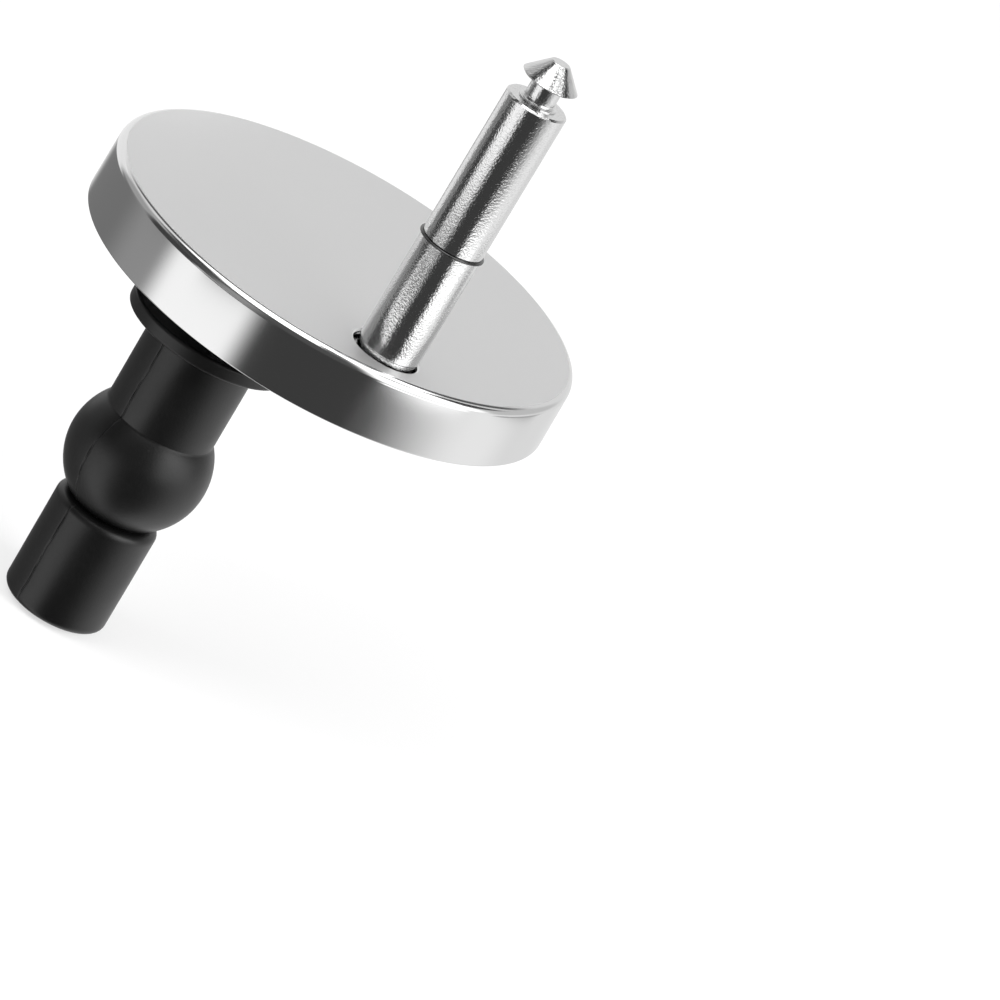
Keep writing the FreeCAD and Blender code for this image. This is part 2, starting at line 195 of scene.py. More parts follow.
@dataclass(frozen=True)
class Outline:
    """A half section that is turned round an upright axis.

    Args:
        corners: the section's corners in order. The last one isn't rounded, and it counts
            as the one before the first.
        arc_steps: straight pieces in each rounded corner.
        margin: how far from a corner a straight side gets a point that keeps it flat.
        stride: longest step along a straight side, or 0 for no limit.
    """

    corners: Sequence[Corner]
    arc_steps: int = 8
    margin: float = 0.03
    stride: float = 0.0

    def points(self) -> list[Ring]:
        """Rounds the corners and sets points along the sides.

        Returns: radius and height of each ring of the mesh.
        """
        runs = [self._corner_points(index) for index in range(len(self.corners))]
        rings = list(runs[0])
        for before, run in zip(runs, runs[1:]):
            rings += self._side_points(before[-1], run[0]) + run
        return rings

    def _corner_points(self, index: int) -> list[Ring]:
        """Sets points on one corner, along its arc if it is rounded.

        Args:
            index: the corner's place in the outline.

        Returns: one point, or the arc's points.
        """
        rounding = self.corners[index].rounding
        spots = [Vector((corner.radius, corner.height)) for corner in self.corners]
        if rounding == 0.0:
            return [tuple(spots[index])]
        here = spots[index]
        back = (spots[index - 1] - here).normalized()
        ahead = (spots[index + 1] - here).normalized()
        half = back.angle(ahead) / 2
        reach = rounding / math.tan(half)
        centre = here + (back + ahead).normalized() * (rounding / math.sin(half))
        start = here + back * reach - centre
        sweep = (here + ahead * reach - centre).angle_signed(start)
        turns = [sweep * step / self.arc_steps for step in range(self.arc_steps + 1)]
        return [tuple(centre + Matrix.Rotation(turn, 2) @ start) for turn in turns]

    def _side_points(self, start: Ring, end: Ring) -> list[Ring]:
        """Sets points between two corners.

        Args:
            start: where the side starts.
            end: where the side ends.

        Returns: the points inside the side, without its ends.
        """
        first, last = Vector(start), Vector(end)
        length = (last - first).length
        if length < 4 * self.margin:
            return []
        room = length - 2 * self.margin
        count = max(1, round(room / self.stride)) if self.stride else 1
        marks = [self.margin + room * step / count for step in range(count + 1)]
        return [tuple(first.lerp(last, mark / length)) for mark in marks]


@dataclass(frozen=True)
class Place:
    """Where a CAD node stands: its axis, its lowest and highest level and its radius."""

    x: float
    y: float
    low: float
    high: float
    reach: float

    @classmethod
    def of(cls, node: str) -> "Place":
        """Reads the box of a CAD node.

        Args:
            node: the node's name.

        Returns: its place.
        """
        low, high = (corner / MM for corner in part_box(node))
        middle = (low + high) / 2
        return cls(middle.x, middle.y, low.z, high.z, (high.x - low.x) / 2)

    @property
    def middle(self) -> float:
        """Returns: the level halfway up."""
        return (self.high + self.low) / 2

    @property
    def half(self) -> float:
        """Returns: half the height."""
        return (self.high - self.low) / 2


class Lathe:
    """Turns outlines round one upright axis into a mesh."""

    def __init__(self, steps: int, fine_angles: Iterable[float] = ()) -> None:
        """Sets out the angles at which the mesh has points.

        Args:
            steps: even steps in a full turn.
            fine_angles: further angles, in radians.
        """
        even = [TURN * step / steps for step in range(steps)]
        self.angles = sorted(even + [angle % TURN for angle in fine_angles])
        self.mesh = bmesh.new()

    def point(self, x: float, y: float, height: float) -> Vert:
        """Adds one point.

        Args:
            x: its place along the mesh's X.
            y: its place along the mesh's Y.
            height: its level.

        Returns: the vertex.
        """
        return self.mesh.verts.new((x * MM, y * MM, height * MM))

    def turn(
        self,
        rings: Sequence[Ring],
        closed: bool = False,
        swell: Swell = lambda angle, radius, height: 0.0,
        centre: tuple[float, float] = (0.0, 0.0),
    ) -> list[Row]:
        """Adds one turned surface.

        Args:
            rings: radius and height of each ring.
            closed: whether the last ring joins the first.
            swell: what is added to the radius at an angle, radius and height.
            centre: the axis, beside the mesh's own.

        Returns: the vertices of each ring.
        """
        rows = []
        for radius, height in rings:
            row = []
            for angle in self.angles if radius > TOUCH else [0.0]:
                x, y = polar(angle, radius + swell(angle, radius, height))
                row.append(self.point(centre[0] + x, centre[1] + y, height))
            rows.append(row)
        for first, second in zip(rows, rows[1:] + rows[:1] * closed):
            self._join(first, second)
        return rows

    def _join(self, first: Row, second: Row) -> None:
        """Fills between two rings, either of which may be a single point.

        Args:
            first: the vertices of one ring.
            second: the vertices of the next ring.
        """
        count = max(len(first), len(second))
        for index in range(count):
            after = (index + 1) % count
            corners = [first[index % len(first)], first[after % len(first)]]
            corners += [second[after % len(second)], second[index % len(second)]]
            face = list(dict.fromkeys(corners))
            if len(face) > 2:
                self.mesh.faces.new(face)

    def fill_between(self, outer: Row, inner: Row) -> None:
        """Fills the flat face between a loop and a loop inside it.

        Args:
            outer: the vertices of the outer loop.
            inner: the vertices of the inner loop.
        """
        edges = []
        for loop in (outer, inner):
            for pair in zip(loop, loop[1:] + loop[:1]):
                edges.append(self.mesh.edges.get(pair) or self.mesh.edges.new(pair))
        bmesh.ops.triangle_fill(self.mesh, use_beauty=True, edges=edges, normal=(0, 0, 1))

    def finish(self, name: str, place: Place, edge: Edge) -> Object:
        """Writes the mesh and stands it on its axis.

        Args:
            name: the piece's name.
            place: the axis it stands on.
            edge: how its edges are shaded.

        Returns: the new object.
        """
        bmesh.ops.recalc_face_normals(self.mesh, faces=self.mesh.faces)
        data = write_mesh(name, self.mesh)
        data.shade_smooth()
        data.set_sharp_from_angle(angle=math.radians(edge.value))
        piece = add_object(name, data)
        piece.location = (place.x * MM, place.y * MM, 0.0)
        return piece


# ---- shader nodes


@dataclass(frozen=True)
class Sketch:
    """Adds nodes to one tree and links them."""

    tree: bpy.types.NodeTree

    @classmethod
    def of(cls, owner: Material | bpy.types.World) -> "Sketch":
        """Empties the tree of a material or a world.

        Args:
            owner: the material or the world.

        Returns: a sketch of its tree.
        """
        owner.use_nodes = True
        owner.node_tree.nodes.clear()
        return cls(owner.node_tree)

    def add(
        self, kind: str, feeds: dict[str | int, Feed] | None = None, **settings: object
    ) -> Node:
        """Adds one node.

        Args:
            kind: Blender's name for the node type. ShaderNode goes before it, unless it
                starts with Node.
            feeds: a value or a socket for each named input.
            settings: properties of the node.

        Returns: the node.
        """
        node = self.tree.nodes.new(kind if kind.startswith("Node") else f"ShaderNode{kind}")
        for name, value in settings.items():
            setattr(node, name, value)
        for name, feed in (feeds or {}).items():
            self.feed(node.inputs[name], feed)
        return node

    def feed(self, socket: Socket, feed: Feed) -> None:
        """Links a socket to an input, or sets the input's value.

        Args:
            socket: the input.
            feed: the socket or the value that it gets.
        """
        if isinstance(feed, Socket):
            self.tree.links.new(feed, socket)
        else:
            socket.default_value = feed

    def math(self, operation: str, *terms: Feed) -> Socket:
        """Adds a Math node.

        Args:
            operation: its operation.
            terms: its inputs in order.

        Returns: its output.
        """
        return self.add("Math", dict(enumerate(terms)), operation=operation).outputs[0]

    def times(self, first: Feed, second: Feed) -> Socket:
        """Multiplies two values.

        Args:
            first: one value.
            second: the other value.

        Returns: their product.
        """
        return self.math("MULTIPLY", first, second)

    def blend(self, factor: Feed, low: Feed, high: Feed) -> Socket:
        """Mixes two values.

        Args:
            factor: 0 for the first, 1 for the second.
            low: the first value.
            high: the second value.

        Returns: the mixed value.
        """
        return self.add("Mix", {0: factor, 2: low, 3: high}, data_type="FLOAT").outputs[0]

    def tint(self, factor: Feed, low: Feed, high: Feed) -> Socket:
        """Mixes two colours.

        Args:
            factor: 0 for the first, 1 for the second.
            low: the first colour.
            high: the second colour.

        Returns: the mixed colour.
        """
        return self.add("Mix", {0: factor, 6: low, 7: high}, data_type="RGBA").outputs[2]

    def layer(self, factor: Feed, low: Node, high: Node) -> Node:
        """Mixes two shaders.

        Args:
            factor: 0 for the first, 1 for the second.
            low: the first shader.
            high: the second shader.

        Returns: the mixed shader.
        """
        return self.add("MixShader", {0: factor, 1: low.outputs[0], 2: high.outputs[0]})

    def noise(self, vector: Feed, scale: Feed, detail: float) -> Socket:
        """Adds a noise texture.

        Args:
            vector: where it is read.
            scale: cells in each unit of the vector.
            detail: octaves.

        Returns: its value, about 0.5 on average.
        """
        feeds = {"Vector": vector, "Scale": scale, "Detail": detail}
        return self.add("TexNoise", feeds).outputs[0]

    def step(self, value: Feed, low: Feed, high: Feed) -> Socket:
        """Adds a smooth step.

        Args:
            value: what is stepped.
            low: where it gives 0.
            high: where it gives 1.

        Returns: the stepped value.
        """
        feeds = {0: value, 1: low, 2: high, 3: 0.0, 4: 1.0}
        return self.add("MapRange", feeds, interpolation_type="SMOOTHSTEP").outputs[0]

    def separate(self, vector: Feed) -> Outputs:
        """Takes a vector apart.

        Args:
            vector: the vector.

        Returns: its X, Y and Z.
        """
        return self.add("SeparateXYZ", {0: vector}).outputs


class Effect:
    """A shader node group, built once and placed in each material that uses it."""

    def __init__(self, name: str, inputs: Sequence[str], outputs: Sequence[str]) -> None:
        """Starts a group.

        Args:
            name: the group's name.
            inputs: the names of its inputs, a vector and then values.
            outputs: the names of its outputs, which are values.
        """
        self.tree = bpy.data.node_groups.new(name, "ShaderNodeTree")
        for index, label in enumerate(inputs):
            kind = "NodeSocketFloat" if index else "NodeSocketVector"
            self.tree.interface.new_socket(label, in_out="INPUT", socket_type=kind)
        for label in outputs:
            self.tree.interface.new_socket(label, in_out="OUTPUT", socket_type="NodeSocketFloat")
        self.draw = Sketch(self.tree)
        self.source = self.draw.add("NodeGroupInput").outputs
        self.sink = self.draw.add("NodeGroupOutput").inputs

    def place(self, sketch: Sketch, *feeds: Feed) -> Outputs:
        """Places the group in a tree.

        Args:
            sketch: the tree.
            feeds: values or sockets for its inputs, in order.

        Returns: the outputs of the placed group.
        """
        node = sketch.add("Group", node_tree=self.tree)
        for socket, feed in zip(node.inputs, feeds):
            sketch.feed(socket, feed)
        return node.outputs


class Effects:
    """The effects that several finishes share."""

    def __init__(self) -> None:
        """Builds each effect once."""
        self.surface = {
            "grain": self._turned_grain(),
            "mottle": self._mottle(),
            "specks": self._specks(),
        }
        self.card = self._studio_card()

    @staticmethod
    def _turned_grain() -> Effect:
        """Draws tool marks that run round an upright axis, and in rings on a flat end.

        Returns: an effect with the marks' height and a mask of their brighter streaks.
        """
        lean, coarse_scale, coarse_share = 0.87, 0.31, 0.6
        inputs = ("Vector", "Marks per mm", "Length")
        effect = Effect("turned_grain", inputs, ("Height", "Streak"))
        draw, source = effect.draw, effect.source
        apart = draw.separate(source["Vector"])
        flat = draw.add("CombineXYZ", {0: apart[0], 1: apart[1]}).outputs[0]
        radius = draw.add("VectorMath", {0: flat}, operation="LENGTH").outputs["Value"]
        around = draw.add("VectorMath", {0: flat}, operation="NORMALIZE").outputs[0]
        around = draw.separate(around)
        along = draw.math("ADD", apart[2], draw.times(radius, lean))
        feeds = {
            0: draw.times(around[0], source["Length"]),
            1: draw.times(around[1], source["Length"]),
            2: draw.times(along, draw.times(source["Marks per mm"], 1 / MM)),
        }
        spot = draw.add("CombineXYZ", feeds).outputs[0]
        fine = draw.noise(spot, 1.0, 3.0)
        coarse = draw.noise(spot, coarse_scale, 1.0)
        height = draw.math("ADD", fine, draw.times(coarse, coarse_share))
        draw.feed(effect.sink["Height"], height)
        draw.feed(effect.sink["Streak"], draw.step(fine, 0.44, 0.66))
        return effect

    @staticmethod
    def _mottle() -> Effect:
        """Draws soft, cloudy variation over a moulded or handled surface.

        Returns: an effect with a coarse and a fine value.
        """
        inputs = ("Vector", "Coarse per mm", "Fine per mm")
        effect = Effect("mottle", inputs, ("Coarse", "Fine"))
        draw, source = effect.draw, effect.source
        for name, octaves in (("Coarse", 3.0), ("Fine", 2.0)):
            scale = draw.times(source[f"{name} per mm"], 1 / MM)
            draw.feed(effect.sink[name], draw.noise(source["Vector"], scale, octaves))
        return effect

    @staticmethod
    def _specks() -> Effect:
        """Draws tiny scattered specks, such as dust or pores.

        Returns: an effect with a mask that is 1 on a speck.
        """
        inputs = ("Vector", "Cells per mm", "Size", "Share")
        effect = Effect("specks", inputs, ("Mask",))
        draw, source = effect.draw, effect.source
        scale = draw.times(source["Cells per mm"], 1 / MM)
        cells = draw.add("TexVoronoi", {"Vector": source["Vector"], "Scale": scale}).outputs
        near = draw.math("LESS_THAN", cells["Distance"], source["Size"])
        lot = draw.add("SeparateColor", {0: cells["Color"]}).outputs[0]
        chosen = draw.math("LESS_THAN", lot, source["Share"])
        draw.feed(effect.sink["Mask"], draw.times(near, chosen))
        return effect

    @staticmethod
    def _studio_card() -> Effect:
        """Draws one card or light box of the studio, as the metal sees it.

        Returns: an effect with a mask that is 1 where a direction meets the card.
        """
        inputs = ("Direction", "Bearing", "Elevation", "Half width", "Half height", "Blur")
        effect = Effect("studio_card", inputs, ("Mask",))
        draw, source = effect.draw, effect.source
        apart = draw.separate(source["Direction"])
        bearing = draw.math("DEGREES", draw.math("ARCTAN2", apart[1], apart[0]))
        height = draw.math("DEGREES", draw.math("ARCSINE", apart[2]))
        turn = draw.math("SUBTRACT", bearing, source["Bearing"])
        turn = draw.math("ABSOLUTE", draw.math("WRAP", turn, 180.0, -180.0))
        rise = draw.math("ABSOLUTE", draw.math("SUBTRACT", height, source["Elevation"]))
        masks = []
        for away, half in ((turn, source["Half width"]), (rise, source["Half height"])):
            far = draw.math("ADD", half, source["Blur"])
            near = draw.math("SUBTRACT", half, source["Blur"])
            masks.append(draw.step(away, far, near))
        draw.feed(effect.sink["Mask"], draw.times(*masks))
        return effect


# ---- finishes


class Layer(Enum):
    """What varies over a surface: a surface effect and one of its outputs."""

    COARSE = ("mottle", "Coarse")
    FINE = ("mottle", "Fine")
    MARKS = ("grain", "Height")
    STREAKS = ("grain", "Streak")
    SPECKS = ("specks", "Mask")


@dataclass(frozen=True)
class Finish:
    """A procedural finish: layers over one Principled shader.

    Args:
        name: the material's name.
        colour: base colour, linear.
        roughness: roughness before the layers add to it.
        effects: the inputs of each surface effect that it uses.
        tones: layers that tint it in order, each with the share of the base colour where
            the layer is 0, or None for what lies below, and where it is 1.
        rough: what layers add to the roughness.
        relief: what layers add to the height.
        strength: share of the relief that shows.
        depth: height of a full step of the relief.
        metallic: 1 for a metal.
        gloss: how strongly rubber or plastic reflects, 0.5 for common kinds.
        stretch: anisotropy of the reflections.
    """

    name: str
    colour: Colour
    roughness: float
    effects: dict[str, tuple[float, ...]]
    tones: Sequence[tuple[Layer, float | None, float | Colour]]
    rough: Sequence[tuple[Layer, float]]
    relief: Sequence[tuple[Layer, float]]
    strength: float
    depth: float
    metallic: float = 0.0
    gloss: float = 0.5
    stretch: float = 0.0

    def shade(self, share: float | Colour) -> tuple[float, float, float, float]:
        """Darkens, lightens or tints the base colour.

        Args:
            share: what the colour, or each part of it, is multiplied by.

        Returns: the colour, as a node takes it.
        """
        shares = share if isinstance(share, tuple) else (share,) * 3
        return (*(part * by for part, by in zip(self.colour, shares)), 1.0)

    def ground(self, sketch: Sketch, coordinates: Outputs) -> Feed:
        """Gives the roughness before the layers add to it.

        Args:
            sketch: the material's sketch.
            coordinates: where the surface is and which way it faces.

        Returns: the roughness.
        """
        return self.roughness

    def build(self, effects: Effects) -> Material:
        """Makes the material.

        Args:
            effects: the shared shader effects.

        Returns: the material.
        """
        material = bpy.data.materials.new(self.name)
        sketch = Sketch.of(material)
        coordinates = sketch.add("TexCoord").outputs
        placed = {
            name: effects.surface[name].place(sketch, coordinates["Object"], *values)
            for name, values in self.effects.items()
        }
        layers = {
            layer: placed[layer.value[0]][layer.value[1]]
            for layer in Layer
            if layer.value[0] in placed
        }
        colour, rough, height = self.shade(1.0), self.ground(sketch, coordinates), 0.0
        for layer, low, high in self.tones:
            below = colour if low is None else self.shade(low)
            colour = sketch.tint(layers[layer], below, self.shade(high))
        for layer, share in self.rough:
            rough = sketch.math("MULTIPLY_ADD", layers[layer], share, rough)
        for layer, share in self.relief:
            height = sketch.math("MULTIPLY_ADD", layers[layer], share, height)
        feeds = {"Strength": self.strength, "Distance": self.depth * MM, "Height": height}
        feeds = {
            "Base Color": colour,
            "Roughness": rough,
            "Normal": sketch.add("Bump", feeds).outputs[0],
            "Metallic": self.metallic,
            "Specular IOR Level": self.gloss,
            "Anisotropic": self.stretch,
        }
        shader = sketch.add("BsdfPrincipled", feeds)
        sketch.add("OutputMaterial", {"Surface": shader.outputs[0]})
        return material


@dataclass(frozen=True)
class DrawnSteel(Finish):
    """Stainless sheet, satin on its flat top and brighter on its drawn side.

    Args:
        top_roughness: roughness of the flat top.
        mirror_roughness: roughness of the top as the polished pin shows it.
        flat: upward part of the normal where the top starts and where it is full.
    """

    top_roughness: float = 0.535
    mirror_roughness: float = 0.065
    flat: tuple[float, float] = (0.985, 0.9995)

    def ground(self, sketch: Sketch, coordinates: Outputs) -> Feed:
        """Gives the roughness of the side and the top.

        Args:
            sketch: the material's sketch.
            coordinates: where the surface is and which way it faces.

        Returns: the roughness.
        """
        upward = sketch.separate(coordinates["Normal"])[2]
        mirrored = sketch.add("LightPath").outputs["Is Glossy Ray"]
        satin = sketch.blend(mirrored, self.top_roughness, self.mirror_roughness)
        return sketch.blend(sketch.step(upward, *self.flat), self.roughness, satin)


COVER_STEEL = DrawnSteel(
    "drawn_steel",
    (0.74,) * 3,
    roughness=0.115,
    effects={"mottle": (0.12, 14.0)},
    tones=[(Layer.FINE, 0.97, 0.995)],
    rough=[(Layer.COARSE, 0.03)],
    relief=[(Layer.FINE, 1.0)],
    strength=0.25,
    depth=0.0006,
    metallic=1.0,
)
PIN_STEEL = Finish(
    "turned_steel",
    (0.72,) * 3,
    roughness=0.06,
    effects={"mottle": (0.5, 4.4), "grain": (9.0, 9.0)},
    tones=[(Layer.STREAKS, 1.0, 0.92)],
    rough=[(Layer.STREAKS, 0.10), (Layer.COARSE, 0.08)],
    relief=[(Layer.MARKS, 0.1), (Layer.FINE, 1.0)],
    strength=1.0,
    depth=0.029,
    metallic=1.0,
    stretch=0.3,
)
ZINC = Finish(
    "zinc_plate",
    (0.66, 0.66, 0.67),
    roughness=0.23,
    effects={"mottle": (0.6, 4.0), "grain": (6.0, 6.0)},
    tones=[(Layer.COARSE, 0.92, (0.94, 0.98, 1.05))],
    rough=[(Layer.FINE, 0.15)],
    relief=[(Layer.MARKS, 1.0)],
    strength=0.5,
    depth=0.002,
    metallic=1.0,
)
BRASS = replace(
    ZINC,
    name="turned_brass",
    colour=(0.72, 0.55, 0.28),
    roughness=0.17,
    tones=[(Layer.COARSE, 0.92, (1.0, 0.93, 0.8))],
)
ANCHOR_RUBBER = Finish(
    "anchor_rubber",
    (0.004,) * 3,
    roughness=0.26,
    effects={"mottle": (0.22, 5.0), "specks": (1.5, 0.09, 0.16)},
    tones=[(Layer.COARSE, 0.75, 1.3), (Layer.SPECKS, None, 3.2)],
    rough=[(Layer.COARSE, 0.18), (Layer.FINE, 0.06)],
    relief=[(Layer.FINE, 1.0), (Layer.SPECKS, 0.7)],
    strength=0.6,
    depth=0.012,
)
RING_RUBBER = replace(
    ANCHOR_RUBBER,
    name="ring_rubber",
    roughness=0.07,
    effects={"mottle": (0.22, 5.0), "specks": (1.5, 0.09, 0.0)},
    depth=0.002,
    gloss=1.0,
)
PAD_RUBBER = replace(
    ANCHOR_RUBBER,
    name="pad_rubber",
    colour=(0.045,) * 3,
    roughness=0.54,
    effects={"mottle": (0.22, 5.0), "specks": (1.5, 0.09, 0.05)},
    depth=0.03,
)
PLASTIC = Finish(
    "moulded_plastic",
    (0.04, 0.04, 0.042),
    roughness=0.44,
    effects={"mottle": (0.15, 9.0)},
    tones=[(Layer.COARSE, 0.85, 1.2)],
    rough=[(Layer.FINE, 0.12)],
    relief=[(Layer.FINE, 1.0)],
    strength=0.5,
    depth=0.02,
)


# ---- pieces


@dataclass
class Cover:
    """The drawn steel cover. Its hole stands a little off the pin's axis."""

    wall: float = 0.6
    flare: float = 0.15
    edge_round: float = 0.9
    rim_round: float = 0.2
    hole_radius: float = 3.72
    hole_lip: float = 0.3
    hole_edge: float = 0.1
    hole_shift: float = 0.22
    hole_side: float = 244.0
    fringe: float = 0.05
    steps: int = 288
    place: Place = field(default_factory=lambda: Place.of("cover_cap"))
    pin: Place = field(default_factory=lambda: Place.of("hinge_pin"))

    def build(self, material: Material) -> None:
        """Builds the cover.

        Args:
            material: its finish.
        """
        lathe = Lathe(self.steps)
        shell = lathe.turn(self.section().points())
        shift = polar(math.radians(self.hole_side), self.hole_shift)
        away = (self.pin.x - self.place.x + shift[0], self.pin.y - self.place.y + shift[1])
        bore = lathe.turn(self.hole().points(), centre=away)
        lathe.fill_between(shell[0], bore[0])
        lathe.fill_between(shell[-1], bore[-1])
        piece = lathe.finish("steel_cover", self.place, Edge.MACHINED)
        settle(piece, Body.COVER, material, ["cover_cap"])

    def section(self) -> Outline:
        """Draws the shell.

        Returns: the half section from its flat top round its rim to its roof.
        """
        rim, low, top = self.place.reach, self.place.low, self.place.high
        shoulder, roof = rim - self.flare, top - self.wall
        inner_round = self.edge_round - self.wall
        corners = [
            Corner(shoulder - self.edge_round - self.fringe, top),
            Corner(shoulder, top, self.edge_round),
            Corner(rim, low, self.rim_round),
            Corner(rim - self.wall, low),
            Corner(shoulder - self.wall, roof, inner_round),
            Corner(shoulder - self.wall - inner_round - self.fringe, roof),
        ]
        return Outline(corners, arc_steps=12, margin=0.02)

    def hole(self) -> Outline:
        """Draws the wall of the pin's hole.

        Returns: the half section from the flat top to the roof.
        """
        top, roof = self.place.high, self.place.high - self.wall
        corners = [
            Corner(self.hole_radius + self.hole_lip + self.fringe, top),
            Corner(self.hole_radius, top, self.hole_lip),
            Corner(self.hole_radius, roof, self.hole_edge),
            Corner(self.hole_radius + self.hole_edge + self.fringe, roof),
        ]
        return Outline(corners, arc_steps=6, margin=0.01)


@dataclass
class Pin:
    """The turned hinge pin and its rubber ring."""

    radius: float = 3.45
    edge: float = 0.2
    foot_radius: float = 2.75
    throat_radius: float = 3.3
    flange_thickness: float = 1.4
    spigot_length: float = 1.7
    lift: float = 0.35
    bore_radius: float = 2.05
    bore_top: float = 18.0
    neck_radius: float = 1.7
    neck_height: float = 2.5
    neck_fillet: float = 0.4
    collar_radius: float = 2.15
    collar_height: float = 0.12
    tip_radius: float = 3.14
    tip_land: float = 0.15
    tip_top_radius: float = 1.05
    tip_height: float = 2.37
    tip_round: float = 0.25
    groove_play: float = 0.02
    ring_flatness: float = 0.58
    ring_wobble: float = 0.012
    ring_steps: int = 20
    steps: int = 160
    place: Place = field(default_factory=lambda: Place.of("hinge_pin"))
    ring: Place = field(default_factory=lambda: Place.of("pin_ring"))
    cover: Place = field(default_factory=lambda: Place.of("cover_cap"))

    def build(self, steel: Material, rubber: Material) -> None:
        """Builds the pin and the ring in its groove.

        Args:
            steel: the pin's finish.
            rubber: the ring's finish.
        """
        lathe = Lathe(self.steps)
        lathe.turn(self.section().points())
        pin = lathe.finish("turned_pin", self.place, Edge.MACHINED)
        settle(pin, Body.BASE, steel, ["hinge_pin"])

        thickness = self.ring.half
        loop = []
        for step in range(self.ring_steps):
            out, up = polar(TURN * step / self.ring_steps, thickness)
            ring_height = self.ring.middle + up * self.ring_flatness
            loop.append((self.ring.reach - thickness + out, ring_height))
        lathe = Lathe(self.steps)
        lathe.turn(loop, closed=True, swell=self.unevenness)
        ring = lathe.finish("ring_seal", self.ring, Edge.MOULDED)
        settle(ring, Body.BASE, rubber, ["pin_ring"])

    def unevenness(self, angle: float, radius: float, height: float) -> float:
        """Gives the slight unevenness of the stretched ring.

        Args:
            angle: angle round the axis, in radians.
            radius: radius of the plain form, which makes no difference.
            height: height of the point, which makes no difference.

        Returns: what is added to the radius, never above 0.
        """
        wave = math.sin(3 * angle + 0.6) * math.cos(2 * angle)
        return self.ring_wobble * (wave - 1)

    def section(self) -> Outline:
        """Draws the pin.

        Returns: its half section, from its bore to its tip.
        """
        flange_low = self.place.low + self.spigot_length
        flange_top = flange_low + self.flange_thickness
        body = self.cover.high + self.lift
        half = self.ring.half * self.ring_flatness + self.groove_play
        groove = self.ring.reach - 2 * self.ring.half
        neck_top = self.place.high - self.tip_height
        shoulder = neck_top - self.neck_height
        collar = shoulder + self.collar_height
        corners = [
            Corner(0, self.bore_top),
            Corner(self.bore_radius, self.bore_top),
            Corner(self.bore_radius, self.place.low),
            Corner(self.foot_radius, self.place.low),
            Corner(self.foot_radius, flange_low),
            Corner(self.place.reach, flange_low),
            Corner(self.place.reach, flange_top, self.edge),
            Corner(self.throat_radius, flange_top),
            Corner(self.throat_radius, body),
            Corner(self.radius, body, self.edge),
            Corner(self.radius, self.ring.middle - half),
            Corner(groove, self.ring.middle - half),
            Corner(groove, self.ring.middle + half),
            Corner(self.radius, self.ring.middle + half, self.edge / 2),
            Corner(self.radius, shoulder - self.edge),
            Corner(self.radius - self.edge, shoulder),
            Corner(self.collar_radius, shoulder),
            Corner(self.collar_radius, collar),
            Corner(self.neck_radius, collar, self.neck_fillet),
            Corner(self.neck_radius, neck_top),
            Corner(self.tip_radius - self.tip_land, neck_top),
            Corner(self.tip_radius, neck_top + self.tip_land),
            Corner(self.tip_top_radius, self.place.high, self.tip_round),
            Corner(0, self.place.high),
        ]
        return Outline(corners, margin=0.02)


